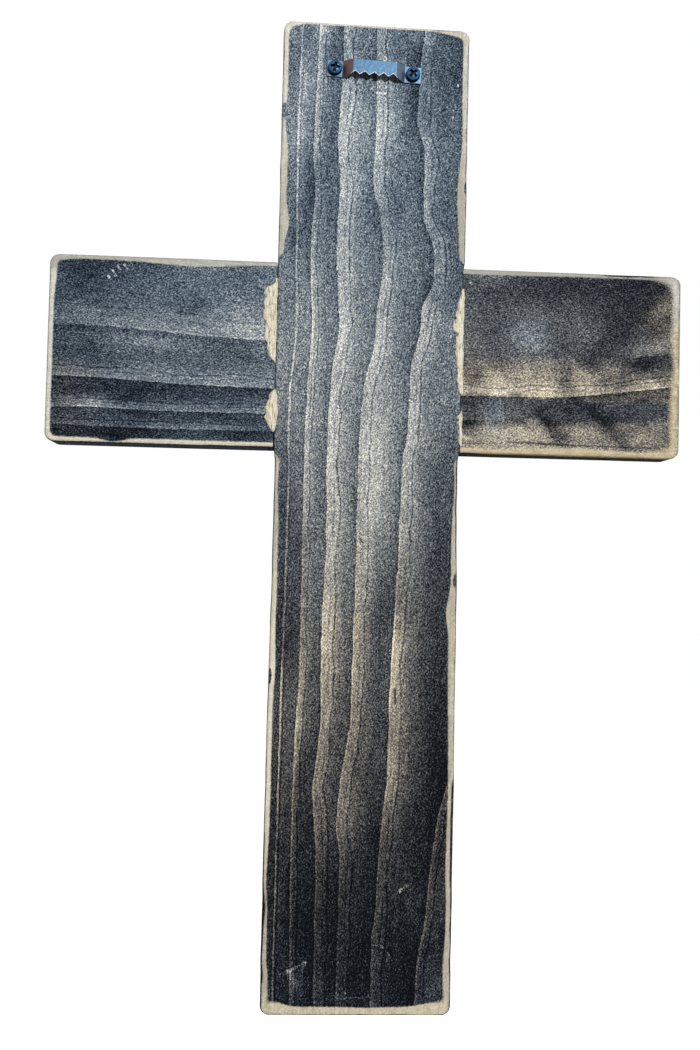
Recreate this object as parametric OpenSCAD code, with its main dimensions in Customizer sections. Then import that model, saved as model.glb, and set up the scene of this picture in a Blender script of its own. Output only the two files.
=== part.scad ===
// Wooden wall cross: two pine boards half-lapped together, with a sawtooth hanger screwed to the back.
// It hangs upright: +Z is up, the front faces -Y and the back faces the wall, at +Y.
// The origin is the root of the hanger's middle notch, in the plane that touches the wall.

/* [Boards] */
// Width of both boards
board_w = 90; // [80:0.5:100]
// Thickness of both boards
board_t = 19; // [16:0.5:25]
// Length of the upright board
upright_l = 477; // [420:1:550]
// Length of the crossbar
crossbar_l = 307; // [250:1:360]
// Distance from the top end down to the crossbar's upper edge
crossbar_drop = 118.5; // [95:0.5:150]
// Offset of the crossbar's middle from the upright's middle, towards +X
crossbar_shift = 0.3; // [-2:0.1:2]
// Slope of the slightly crooked cut at the top end, in degrees
top_cut_slope = 0.7; // [0:0.1:1.5]
// Radius of the sanded corners at the boards' ends
corner_r = 4.5; // [3:0.5:8]
// Radius of the sanded long edges
edge_r = 1.5; // [0.75:0.25:2.5]
// Clearance on each side of the half-lap joint
lap_gap = 0.2; // [0.1:0.05:0.4]

/* [Hanger] */
// Overall length of the hanger
hanger_l = 46; // [44:0.5:52]
// Height of the end tabs
tab_h = 8.2; // [7:0.5:10]
// Length of each end tab
tab_l = 7.9; // [7.2:0.1:9]
// Length of each sloping ramp, measured along the board
ramp_l = 4.4; // [3:0.1:6]
// How far the bridge stands off the board's back face
bridge_gap = 3.8; // [2.8:0.1:4.2]
// Thickness of the hanger's steel strip
strip_t = 0.9; // [0.7:0.1:1.2]
// How far the bridge's upper edge lies below the tabs' upper edge
bridge_top_step = 0; // [0:0.1:0.8]
// How far the tooth tips lie above the tabs' lower edge
bridge_low_step = 0.7; // [0:0.1:1]
// Number of notches along the bridge's lower edge, an odd number
notch_count = 5; // [3:2:5]
// Spacing of the notches
notch_pitch = 4.6; // [3.5:0.1:4.6]
// Depth of the notches
notch_depth = 1.6; // [0.8:0.1:2]
// Distance from the top end down to the hanger's middle line
hanger_drop = 23.6; // [18:0.2:40]
// Offset of the hanger's middle from the upright's middle, towards +X
hanger_shift = 0.8; // [-3:0.1:3]
// Tilt of the hanger, which was screwed on a little crooked, in degrees
hanger_tilt = 2.4; // [0:0.1:3]

/* [Screws] */
// Radius of the screws' high pan heads
head_r = 3.5; // [3:0.1:3.6]
// Height of the screw heads
head_h = 3; // [2:0.1:3.2]
// Radius of the domed top of the screw heads
head_dome_r = 5.5; // [5:0.5:10]
// Radius of the screws' plain shanks, at the crest of their threads
shank_r = 1.6; // [1.4:0.05:1.7]
// Length of the screws under their heads
shank_l = 12.7; // [10:0.1:15]
// Length of the screws' pointed tips
tip_l = 3; // [2:0.5:4]
// Width of one slot of the cross recess
recess_w = 1.1; // [0.7:0.1:1.3]
// Length of one slot of the cross recess
recess_l = 4.4; // [3:0.1:4.6]
// Depth of the cross recess
recess_depth = 1.2; // [0.8:0.1:1.4]

/* [Hidden] */

wood_colour = [0.20, 0.21, 0.23];
steel_colour = [0.30, 0.42, 0.52];
screw_colour = [0.12, 0.19, 0.26];

// Planes along Y: the wall at 0, then the boards' back, middle and front
back_y = -(bridge_gap + strip_t);
lap_y = back_y - board_t / 2;
front_y = back_y - board_t;

// Heights in the hanger's own frame, whose zero is the tabs' middle line
bridge_top = tab_h / 2 - bridge_top_step;
tooth_tip = -tab_h / 2 + bridge_low_step;
notch_root = tooth_tip + notch_depth;
hanger_z = -notch_root;

// The upright's and the crossbar's places, from the hanger's
upright_x = -hanger_shift;
upright_top = hanger_z + hanger_drop;
crossbar_x = upright_x + crossbar_shift;
crossbar_top = upright_top - crossbar_drop;
crossbar_z = crossbar_top - board_w / 2;

// Where the tabs meet the ramps, and the ramps the bridge, from the hanger's middle
tab_end = hanger_l / 2 - tab_l;
bridge_end = tab_end - ramp_l;

// Places of the screws, in the middle of the tabs
screw_x = hanger_l / 2 - tab_l / 2;
hole_r = shank_r + 0.4;
pilot_r = shank_r + 0.05;
pilot_depth = shank_l - strip_t + 1;
// A cut reaches this far past the faces that it goes through
past = 1;
rim_fn = 32;

// One rounded corner of a board: a disc on its edge, from the front face to the back face
module corner_disc(x, z) {
    translate([x, back_y, z]) rotate([90, 0, 0]) rotate_extrude($fn = rim_fn) {
        square([corner_r - edge_r, board_t]);
        translate([0, edge_r]) square([corner_r, board_t - 2 * edge_r]);
        for (y = [edge_r, board_t - edge_r])
            translate([corner_r - edge_r, y]) intersection() {
                circle(r = edge_r);
                translate([0, -edge_r]) square([edge_r, 2 * edge_r]);
            }
    }
}

// A board lying along the wall, with sanded corners and edges. The slope tips its upper end.
module board(x, z, w, h, slope = 0) {
    side = w / 2 - corner_r;
    rise = side * tan(slope);
    hull() {
        for (s = [-1, 1]) {
            corner_disc(x + s * side, z + h / 2 - corner_r + s * rise);
            corner_disc(x + s * side, z - h / 2 + corner_r);
        }
    }
}

// Moves its children from the hanger's own frame, on the board's back face, to its crooked place
module on_hanger() {
    rotate([0, -hanger_tilt, 0]) translate([0, back_y, hanger_z]) children();
}

module upright_board() {
    color(wood_colour) difference() {
        board(upright_x, upright_top - upright_l / 2, board_w, upright_l, top_cut_slope);
        // Half-lap: the crossbar crosses in front
        translate([upright_x - board_w / 2 - past, front_y - past, crossbar_z - board_w / 2 - lap_gap])
            cube([board_w + 2 * past, board_t / 2 + past, board_w + 2 * lap_gap]);
        // Pilot holes of the hanger's screws
        on_hanger() for (s = [-1, 1])
            translate([s * screw_x, past, 0]) rotate([90, 0, 0])
                cylinder(r = pilot_r, h = pilot_depth + past, $fn = 32);
    }
}

module crossbar() {
    color(wood_colour) difference() {
        board(crossbar_x, crossbar_z, crossbar_l, board_w);
        // Half-lap: the upright crosses behind
        translate([upright_x - board_w / 2 - lap_gap, lap_y, crossbar_z - board_w / 2 - past])
            cube([board_w + 2 * lap_gap, board_t / 2 + past, board_w + 2 * past]);
    }
}

// A list of points followed by its mirror image across x = 0, in reverse, as one closed outline
function both_sides(points) =
    concat(points, [for (i = [len(points) - 1:-1:0]) [-points[i].x, points[i].y]]);

// The strip seen from above: tab, ramp, bridge, ramp, tab. The first coordinate runs along the
// board and the second stands off it.
module strip_profile() {
    bends = [[hanger_l / 2, 0], [tab_end, 0], [bridge_end, bridge_gap]];
    inner = both_sides(bends);
    outer = both_sides([for (p = bends) [p.x, p.y + strip_t]]);
    polygon(concat(inner, [for (i = [len(outer) - 1:-1:0]) outer[i]]));
}

// The strip seen from behind: tabs, ramps, and a bridge with a straight edge at the tooth tips
module strip_outline() {
    teeth_end = notch_count * notch_pitch / 2;
    upper = [[hanger_l / 2, tab_h / 2], [tab_end, tab_h / 2], [bridge_end, bridge_top]];
    lower = [[-hanger_l / 2, -tab_h / 2], [-tab_end, -tab_h / 2], [-teeth_end, tooth_tip]];
    polygon(concat(both_sides(upper), both_sides(lower)));
}

// One notch, cut upwards into the bridge's lower edge
module notch(x) {
    half = notch_pitch / 2;
    wide = half * (1 + past / notch_depth);
    translate([x, 0])
        polygon([[0, notch_root], [wide, tooth_tip - past], [-wide, tooth_tip - past]]);
}

module sawtooth_hanger() {
    color(steel_colour) on_hanger() difference() {
        intersection() {
            translate([0, 0, -tab_h]) linear_extrude(2 * tab_h) strip_profile();
            rotate([90, 0, 0]) translate([0, 0, -2 * (bridge_gap + strip_t)])
                linear_extrude(4 * (bridge_gap + strip_t)) difference() {
                    strip_outline();
                    for (i = [0:notch_count - 1]) notch((i - (notch_count - 1) / 2) * notch_pitch);
                }
        }
        for (s = [-1, 1]) translate([s * screw_x, strip_t + past, 0]) rotate([90, 0, 0])
            cylinder(r = hole_r, h = strip_t + 2 * past, $fn = 32);
    }
}

// Pan-head screw with a cross recess, in the tab on the given side and turned by an angle
module pan_screw(side, turn) {
    color(screw_colour) on_hanger() translate([side * screw_x, strip_t, 0]) rotate([-90, turn, 0]) {
        difference() {
            intersection() {
                cylinder(r = head_r, h = head_h, $fn = 48);
                translate([0, 0, head_h - head_dome_r]) sphere(r = head_dome_r, $fn = 64);
            }
            for (a = [0, 90]) rotate([0, 0, a])
                translate([-recess_l / 2, -recess_w / 2, head_h - recess_depth])
                    cube([recess_l, recess_w, recess_depth + past]);
        }
        translate([0, 0, tip_l - shank_l]) cylinder(r = shank_r, h = shank_l - tip_l, $fn = 32);
        translate([0, 0, -shank_l]) cylinder(r1 = 0.2, r2 = shank_r, h = tip_l, $fn = 32);
    }
}

// Left and right as seen from behind, with the back towards the eye
module screw_left() { pan_screw(1, 10); }
module screw_right() { pan_screw(-1, 45); }

upright_board();
crossbar();
sawtooth_hanger();
screw_left();
screw_right();
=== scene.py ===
"""Wooden wall cross, seen from behind: two stained pine boards, dried glue at their joint, and a
sawtooth hanger held by two screws. Everything is in metres in the frame of the CAD model.

The boards are shaped in millimetres in the face frame: u runs to the right as seen from behind,
d runs down from near the upright's top, and c runs from the back face towards the front face.
"""
import math

import bpy
import numpy as np
from mathutils import Matrix, Vector

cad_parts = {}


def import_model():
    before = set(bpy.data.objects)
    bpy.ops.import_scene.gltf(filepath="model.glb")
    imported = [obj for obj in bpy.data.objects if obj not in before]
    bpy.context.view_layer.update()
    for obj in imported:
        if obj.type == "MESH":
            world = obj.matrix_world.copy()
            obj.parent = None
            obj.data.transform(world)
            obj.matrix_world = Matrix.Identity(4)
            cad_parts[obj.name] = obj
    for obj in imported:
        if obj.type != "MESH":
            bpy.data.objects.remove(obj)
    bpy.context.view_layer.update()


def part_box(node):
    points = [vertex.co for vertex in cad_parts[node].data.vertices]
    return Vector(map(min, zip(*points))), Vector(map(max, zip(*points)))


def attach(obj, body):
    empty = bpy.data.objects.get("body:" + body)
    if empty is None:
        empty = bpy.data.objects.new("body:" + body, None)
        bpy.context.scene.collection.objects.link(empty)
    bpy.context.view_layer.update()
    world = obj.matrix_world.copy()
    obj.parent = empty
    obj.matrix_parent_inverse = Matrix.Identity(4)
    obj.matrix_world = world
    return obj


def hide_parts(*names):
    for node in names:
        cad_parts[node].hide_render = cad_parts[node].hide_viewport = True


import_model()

MM = 0.001

upright_low, upright_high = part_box("upright_board")
bar_low, bar_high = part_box("crossbar")

# Millimetres: the upright's top end is a little above d = 0, and its right corner a little higher
TOP_END = -0.5
HIGH_CORNER = 0.5
HALF = (upright_high.x - upright_low.x) / 2 / MM
THICK = (upright_high.y - upright_low.y) / MM
MIDDLE_X = (upright_high.x + upright_low.x) / 2
BACK_Y = upright_high.y
TOP_Z = upright_high.z + (TOP_END - HIGH_CORNER) * MM
UPRIGHT_END = (TOP_Z - upright_low.z) / MM
BAR_TOP = (TOP_Z - bar_high.z) / MM
BAR_FOOT = (TOP_Z - bar_low.z) / MM
BAR_LEFT = (MIDDLE_X - bar_high.x) / MM
BAR_RIGHT = (MIDDLE_X - bar_low.x) / MM
# The two boards' halving joint: how deep each is cut, and the play at the cut's sides
LAP = THICK / 2
LAP_GAP = 0.2
CORNER_RADIUS = 4.5
EDGE_RADIUS = 1.5


def world(u, d, c):
    """Points of the face frame, in millimetres, as an array of world points in metres."""
    return np.stack([MIDDLE_X - u * MM, BACK_Y - c * MM, TOP_Z - d * MM], axis=-1)


def add_object(name, data):
    """A new object in the scene."""
    added = bpy.data.objects.new(name, data)
    bpy.context.collection.objects.link(added)
    return added


# -------- camera

SENSOR_WIDTH = 36
LENS = 38.95
VIEWPOINT = world(-36.3, 265.8, -544.4)
VIEW_CENTRE = world(-7.23, 244.35, 0)
VIEW_ROLL = math.radians(-1.35)


def add_camera():
    """A camera behind the cross, a little below its middle and slightly turned."""
    data = bpy.data.cameras.new("camera")
    data.sensor_width = SENSOR_WIDTH
    data.lens = LENS
    camera = add_object("camera", data)
    place = Vector(VIEWPOINT)
    turn = (Vector(VIEW_CENTRE) - place).to_track_quat("-Z", "Y").to_matrix()
    turn = turn @ Matrix.Rotation(-VIEW_ROLL, 3, "Z")
    camera.matrix_world = Matrix.Translation(place) @ turn.to_4x4()
    bpy.context.scene.camera = camera


add_camera()
bpy.context.scene.view_settings.view_transform = "Standard"


# -------- formulas

def step(low, high, x):
    """Rises smoothly from 0 at low to 1 at high."""
    t = np.clip((x - low) / (high - low), 0, 1)
    return t * t * (3 - 2 * t)


def bumps(x, base, places):
    """A base value with round bumps, each given as its place, reach and height."""
    total = np.full_like(x, base)
    for place, reach, height in places:
        total += height * np.exp(-((x - place) / reach) ** 2)
    return total


def blobs(x, y, places):
    """Round bumps over a face: x, y, reach in x, reach in y, height, and for some a slant."""
    total = np.zeros_like(x)
    for px, py, rx, ry, height, *slant in places:
        across = (x - px - sum(slant) * (y - py)) / rx
        total += height * np.exp(-across ** 2 - ((y - py) / ry) ** 2)
    return total


def cloud(x, y, cell, seed):
    """Smooth value noise from -1 to 1, with features about the size of a cell."""
    size = 64
    lattice = np.random.default_rng(seed).uniform(-1, 1, (size, size))
    i, j = np.floor(x / cell).astype(int), np.floor(y / cell).astype(int)
    s, t = x / cell - i, y / cell - j
    s, t = s * s * (3 - 2 * s), t * t * (3 - 2 * t)
    i, i_next, j, j_next = i % size, (i + 1) % size, j % size, (j + 1) % size
    near = lattice[i, j] * (1 - s) + lattice[i_next, j] * s
    far = lattice[i, j_next] * (1 - s) + lattice[i_next, j_next] * s
    return near * (1 - t) + far * t


def through(points, at, soften=6):
    """A smooth curve through listed points, each given as place and value.

    soften is how far, in millimetres, the bends at the points are rounded.
    """
    places, values = zip(*points)
    fine = np.arange(places[0] - 40, places[-1] + 40, 1.0)
    kernel = np.hanning(2 * soften + 1)
    kernel /= kernel.sum()
    line = np.pad(np.interp(fine, places, values), soften, mode="edge")
    return np.interp(at, fine, np.convolve(line, kernel, mode="valid"))


# -------- growth rings

# Each late-wood line of the upright's back face, as (down, across) points along it. Then come the
# width of the pale band on its right, how strongly the ring shows, how far it falls in tone
# before the next line, and how bright the line's very edge is.
UPRIGHT_LINES = [
    ([(0, -52), (475, -52)], 5, 0.5, 0.8, 0.1),
    ([(0, -36.4), (60, -37), (120, -36.3), (150, -35.5), (180, -38), (300, -38.8), (475, -39.3)],
     1.2, 0.8, 0.6, 0.75),
    ([(0, -27.4), (40, -28.8), (65, -29.3), (85, -27.6), (100, -29.3), (120, -29.5), (150, -27.8),
      (180, -29.5), (220, -30.5), (320, -30), (345, -31.6), (400, -32), (475, -31)],
     3.2, 1.0, 0.8, 0.3),
    ([(0, -16), (20, -15.5), (58, -17.6), (75, -16), (115, -17), (148, -14.4), (172, -18),
      (200, -19.3), (260, -18.5), (290, -20), (340, -19), (370, -22.5), (400, -19.8),
      (475, -19.5)], 5.8, 1.1, 0.5, 0.2),
    ([(0, 0), (45, 1.2), (80, 0), (93, 4), (110, 6), (125, 5.2), (140, 3.3), (157, 2.8), (175, -2),
      (200, -4), (260, -4), (340, -5), (365, -9), (388, -11), (400, -8.5), (475, -9)],
     5.5, 1.05, 0.8, 0.2),
    ([(0, 24), (20, 22), (48, 21), (60, 25), (95, 25), (108, 30), (125, 31), (137, 25),
      (152, 24.3), (165, 20.5), (200, 19.5), (212, 17.2), (260, 16.2), (300, 14.3), (325, 13.5),
      (365, 13.3), (385, 11), (400, 10), (430, 9), (437, 7.6), (475, 7.6)],
     5.5, 1.1, 1.0, 0.2),
    ([(0, 60), (320, 52), (365, 42), (385, 37), (410, 34), (435, 32), (450, 29), (475, 28)],
     3.5, 1.0, 0.8, 0.3),
    ([(0, 90), (475, 75)], 3, 1.0, 0.8, 0.1),
]
# The crossbar's lines, as (across, down) points. Their pale bands lie above them.
BAR_LINES = [
    ([(-155, 104), (155, 104)], 6, 0.5, 0.5, 0.1),
    ([(-155, 151.3), (-120, 152.3), (-80, 155.5), (-45, 156.8), (50, 160), (155, 150)],
     9, 0.5, 0.5, 0.1),
    ([(-155, 176.3), (-120, 177.3), (-85, 179.4), (45, 180.3), (75, 180), (98, 179.4),
      (120, 176.8), (155, 171.8)], 5, 1.15, 0.8, 0.6),
    ([(-155, 191.8), (-130, 191.2), (-95, 192.2), (-45, 191.8), (155, 192)],
     4, 1.0, 1.0, 0.45),
    ([(-155, 199.8), (-100, 200.6), (-45, 200.3), (155, 203.5)], 3, 1.0, 1.0, 0.4),
    ([(-155, 213), (155, 213)], 6, 0.8, 0.8, 0.1),
    ([(-155, 226), (155, 226)], 6, 0.8, 0.8, 0.1),
]
# Deeper in the board each line lies further across by this much for each millimetre
UPRIGHT_LEAN, BAR_LEAN = 0.5, -0.35


def growth(lines, along, across, owner):
    """Ring number, spacing and the line's four traits at points of a face.

    owner is 0 where the line at a ring's low side shapes it, and 1 for the line at its high side.
    """
    ring = np.zeros_like(along)
    spacing = np.full_like(along, 10.0)
    traits = np.ones((4, *along.shape))
    curves = [through(line[0], along) for line in lines]
    for k in range(len(lines) - 1):
        inside = (across >= curves[k]) & (across < curves[k + 1])
        gap = curves[k + 1] - curves[k]
        ring[inside] = (k + (across - curves[k]) / gap)[inside]
        spacing[inside] = gap[inside]
        traits[:, inside] = np.array(lines[k + owner][1:])[:, None]
    return ring, spacing, traits


# -------- board meshes

def rungs(low, high, pitch, rim, rim_pitch):
    """Grid lines from low to high, closer together near both ends."""
    near = np.arange(0, rim, rim_pitch)
    middle = np.linspace(low + rim, high - rim, max(2, round((high - low - 2 * rim) / pitch)))
    return np.concatenate([low + near, middle, (high - near)[::-1]])


def skin(grid, solid):
    """The quads round the solid cells of a grid, as corner coordinates and faces."""
    shape = tuple(len(lines) for lines in grid)
    padded = np.pad(solid, 1)
    quads = []
    for axis in range(3):
        cut = [slice(1, -1)] * 3
        cut[axis] = slice(0, -1)
        before = padded[tuple(cut)]
        cut[axis] = slice(1, None)
        after = padded[tuple(cut)]
        one, other = np.roll(np.eye(3, dtype=int), -axis - 1, axis=0)[:2]
        for faces, order in ((before & ~after, 1), (after & ~before, -1)):
            corner = np.stack(np.nonzero(faces), axis=-1)
            loop = [corner, corner + one, corner + one + other, corner + other][::order]
            quads.append(np.stack([np.ravel_multi_index(p.T, shape) for p in loop], axis=-1))
    quads = np.concatenate(quads)
    used, faces = np.unique(quads, return_inverse=True)
    places = np.unravel_index(used, shape)
    return [lines[i].astype(float) for lines, i in zip(grid, places)], faces.reshape(-1, 4)


def round_off(p, q, radius):
    """Rounds the edge between two faces. p and q are how far points lie inside each face."""
    x, y = np.clip(radius - p, 0, None), np.clip(radius - q, 0, None)
    pull = 1 - np.maximum(x, y) / np.maximum(np.hypot(x, y), 1e-9)
    return p + x * pull, q + y * pull


def round_box(points, low, high, first, second, radius):
    """Rounds the four edges where the faces of two axes meet. The radius may vary by point."""
    for low_first in (True, False):
        for low_second in (True, False):
            p = points[first] - low[first] if low_first else high[first] - points[first]
            q = points[second] - low[second] if low_second else high[second] - points[second]
            p, q = round_off(p, q, radius)
            points[first] = low[first] + p if low_first else high[first] - p
            points[second] = low[second] + q if low_second else high[second] - q


def add_mesh(name, points, faces, material, sharp=40):
    """A new mesh object from world points and faces, smooth except at sharp edges."""
    mesh = bpy.data.meshes.new(name)
    mesh.from_pydata(points.tolist(), [], faces if isinstance(faces, list) else faces.tolist())
    mesh.polygons.foreach_set("use_smooth", np.ones(len(mesh.polygons), dtype=bool))
    mesh.set_sharp_from_angle(angle=math.radians(sharp))
    mesh.materials.append(material)
    return add_object(name, mesh)


def store(piece, name, *columns):
    """Stores three numbers per vertex for the material to read."""
    layer = piece.data.attributes.new(name, "FLOAT_VECTOR", "POINT")
    layer.data.foreach_set("vector", np.stack(columns, axis=-1).astype(np.float32).ravel())


def ship(piece, node=None):
    """Fixes a piece to the cross, and retires the CAD node it replaces."""
    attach(piece, "root")
    if node:
        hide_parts(node)


def soft_max(values, blend=1.2):
    """The largest of several fields, with rounded inner corners."""
    return blend * np.log(sum(np.exp(np.clip(v / blend, -40, 40)) for v in values))


# -------- materials

class Graph:
    """The nodes of a new material or world, with short ways to add them."""

    def __init__(self, name, world=False):
        self.owner = (bpy.data.worlds if world else bpy.data.materials).new(name)
        self.owner.use_nodes = True
        self.nodes = self.owner.node_tree.nodes
        self.links = self.owner.node_tree.links
        self.shader = self.nodes["Background" if world else "Principled BSDF"]

    def set(self, socket, value):
        """Links a socket to another node, or gives it a plain value."""
        if isinstance(value, bpy.types.NodeSocket):
            self.links.new(value, socket)
        elif value is not None:
            socket.default_value = value

    def new(self, kind):
        return self.nodes.new("ShaderNode" + kind)

    def attribute(self, name):
        """The three numbers that a mesh stores under a name, apart and together."""
        node = self.new("Attribute")
        node.attribute_name = name
        split = self.new("SeparateXYZ")
        self.links.new(node.outputs["Vector"], split.inputs[0])
        return [*split.outputs, node.outputs["Vector"]]

    def math(self, operation, a, b=None, c=None, clamp=False):
        node = self.new("Math")
        node.operation = operation
        node.use_clamp = clamp
        for socket, value in zip(node.inputs, (a, b, c)):
            self.set(socket, value)
        return node.outputs[0]

    def add(self, total, amount, value):
        """total + amount x value"""
        return self.math("MULTIPLY_ADD", value, amount, total)

    def times(self, a, b):
        return self.math("MULTIPLY", a, b)

    def scaled(self, vector, x, y, z):
        node = self.new("VectorMath")
        node.operation = "MULTIPLY"
        self.set(node.inputs[0], vector)
        node.inputs[1].default_value = (x, y, z)
        return node.outputs[0]

    def turned(self, vector):
        """Points in a frame askew to the board, so that no noise lines up with it."""
        node = self.new("VectorRotate")
        self.set(node.inputs["Vector"], vector)
        node.inputs["Axis"].default_value = (0.4, 0.5, 1.0)
        node.inputs["Angle"].default_value = 0.7
        return node.outputs[0]

    def joined(self, x, y, z=0.0):
        node = self.new("CombineXYZ")
        for socket, value in zip(node.inputs, (x, y, z)):
            self.set(socket, value)
        return node.outputs[0]

    def noise(self, vector, detail=2.0, roughness=0.5):
        """Noise centred on 0, from about -1 to 1, with features about one unit across."""
        node = self.new("TexNoise")
        self.set(node.inputs["Vector"], vector)
        node.inputs["Scale"].default_value = 1.0
        node.inputs["Detail"].default_value = detail
        node.inputs["Roughness"].default_value = roughness
        return self.add(-2.0, 4.0, node.outputs["Fac"])

    def step(self, value, low, high, start=0.0, end=1.0):
        """Goes smoothly from start, where the value is low, to end, where it is high."""
        node = self.new("MapRange")
        node.interpolation_type = "SMOOTHSTEP"
        for socket, number in zip(node.inputs, (value, low, high, start, end)):
            self.set(socket, number)
        return node.outputs[0]

    def stroke(self, across, along, mark):
        """1 along a thin straight mark, fading to 0 at its width."""
        x0, y0, x1, y1, width = mark
        dx, dy = x1 - x0, y1 - y0
        length = max(dx * dx + dy * dy, 1e-6)
        x, y = self.math("SUBTRACT", across, x0), self.math("SUBTRACT", along, y0)
        far = self.add(self.times(x, dx / length), dy / length, y)
        far = self.math("MINIMUM", self.math("MAXIMUM", far, 0.0), 1.0)
        x, y = self.add(x, -dx, far), self.add(y, -dy, far)
        away = self.math("SQRT", self.add(self.times(x, x), y, y))
        return self.step(away, width * 0.3, width, 1.0, 0.0)

    def dark_line(self, in_band, place, reach):
        """1 along a thin line at a place in a ring's band, which is reach wide, and 0 beside it."""
        away = self.times(self.math("SUBTRACT", in_band, place), reach)
        return self.step(self.math("ABSOLUTE", away), 0.15, 0.6, 1.0, 0.0)

    def mix(self, factor, a, b):
        node = self.new("Mix")
        node.data_type = "RGBA"
        node.clamp_factor = True
        self.set(node.inputs["Factor"], factor)
        self.set(node.inputs[6], a)
        self.set(node.inputs[7], b)
        return node.outputs[2]

    def ramp(self, value, stops):
        """A colour that changes with a value. Each stop is its place and a screen colour."""
        node = self.new("ValToRGB")
        self.set(node.inputs[0], value)
        elements = node.color_ramp.elements
        while len(elements) < len(stops):
            elements.new(1.0)
        for element, (place, *colour) in zip(elements, stops):
            element.position = place
            element.color = srgb(*colour)
        return node.outputs[0]

    def paint(self, colour, numbers):
        """Sets the shader's colour, and numbers on its other sockets by name."""
        self.set(self.shader.inputs["Base Color"], colour)
        for socket, number in numbers.items():
            self.set(self.shader.inputs[socket], number)

    def bump(self, height, distance):
        node = self.new("Bump")
        node.inputs["Distance"].default_value = distance
        self.set(node.inputs["Height"], height)
        self.links.new(node.outputs[0], self.shader.inputs["Normal"])


def srgb(r, g, b):
    """A screen colour, from 0 to 255, as linear light."""
    linear = [((v / 255 + 0.055) / 1.055) ** 2.4 if v > 10.3 else v / 255 / 12.92
              for v in (r, g, b)]
    return (*linear, 1.0)


# Scratches and dents in the stain: both ends as across and along the grain, width, and change of
# lightness. On the upright across is u and along is d. On the crossbar, whose marks lie further
# across than the upright reaches, it is the other way round.
MARKS = [
    (-1.5, 31, 1, 33, 0.6, 0.22), (1, 33, 5, 33.2, 0.6, 0.25), (5, 33.2, 6.5, 31, 0.6, 0.2),
    (24, 3, 40, 20, 0.5, 0.10), (28, 5, 36, 17, 0.4, 0.08), (30, 42, 42, 56, 0.5, -0.10),
    (-3, 6, -3, 6, 1.0, 0.35), (4.5, 15, 4.5, 17, 0.8, 0.25), (-2, 11, -2, 13, 0.8, 0.25),
    (38, 40, 39, 38, 0.7, 0.3), (37.5, 44, 38, 43, 0.6, 0.3),
    (39.7, 27.8, 39.7, 27.8, 1.9, -0.25), (39.7, 27.8, 39.7, 27.8, 1.2, 0.75),
    (-28, 98, -15, 103, 0.5, 0.08), (9, 95, 22, 90, 0.5, 0.08),
    (16, 322.8, 16.4, 329, 0.8, -0.4), (20.5, 418.5, 21.5, 417, 0.9, 0.45),
    (21.5, 417, 25, 415, 0.8, 0.15), (-32, 456, -23.5, 451.5, 1.0, 0.28),
    (-23.5, 451.5, -26, 458, 0.8, 0.2), (-31, 456, -28, 462, 2.0, 0.2),
    (-6, 468.2, 7, 467.8, 0.5, 0.25), (9, 443, 13, 444, 0.8, 0.12), (13, 444, 16, 448, 0.6, 0.2),
    (16, 448, 15, 451, 0.6, 0.2), (-7, 445, -9, 450, 0.6, 0.12),
    (127.5, -126, 129, -125, 0.8, 0.5), (125, -124, 127.5, -122.5, 0.8, 0.5),
    (123, -121.5, 125, -120, 0.7, 0.45), (122, -118.5, 124, -117, 0.7, 0.4),
    (120.5, -116, 122, -114.5, 0.7, 0.4), (125, 49, 125, 49, 1.1, 0.5),
    (121, 116.5, 124, 118, 0.5, 0.22), (184, 115, 181.5, 126, 0.5, 0.2),
    (182, 96, 182, 96, 0.9, 0.35), (162, 82, 162, 82, 0.8, 0.3),
    (202, 68, 202.6, 98, 0.7, -0.28), (202.8, 100, 203.2, 142, 0.6, -0.25),
    (203.5, 46, 203, 62, 0.5, -0.2), (163, 100, 162.5, 122, 0.5, -0.12),
    (166, 68, 166.5, 80, 0.4, -0.12), (171.5, 84, 171.2, 106, 0.5, -0.12),
    (159, 131, 158, 142, 0.5, -0.18), (170, 48, 170.5, 58, 0.5, -0.12),
    (182, 149, 181, 149.5, 1.2, -0.6),
]


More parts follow.
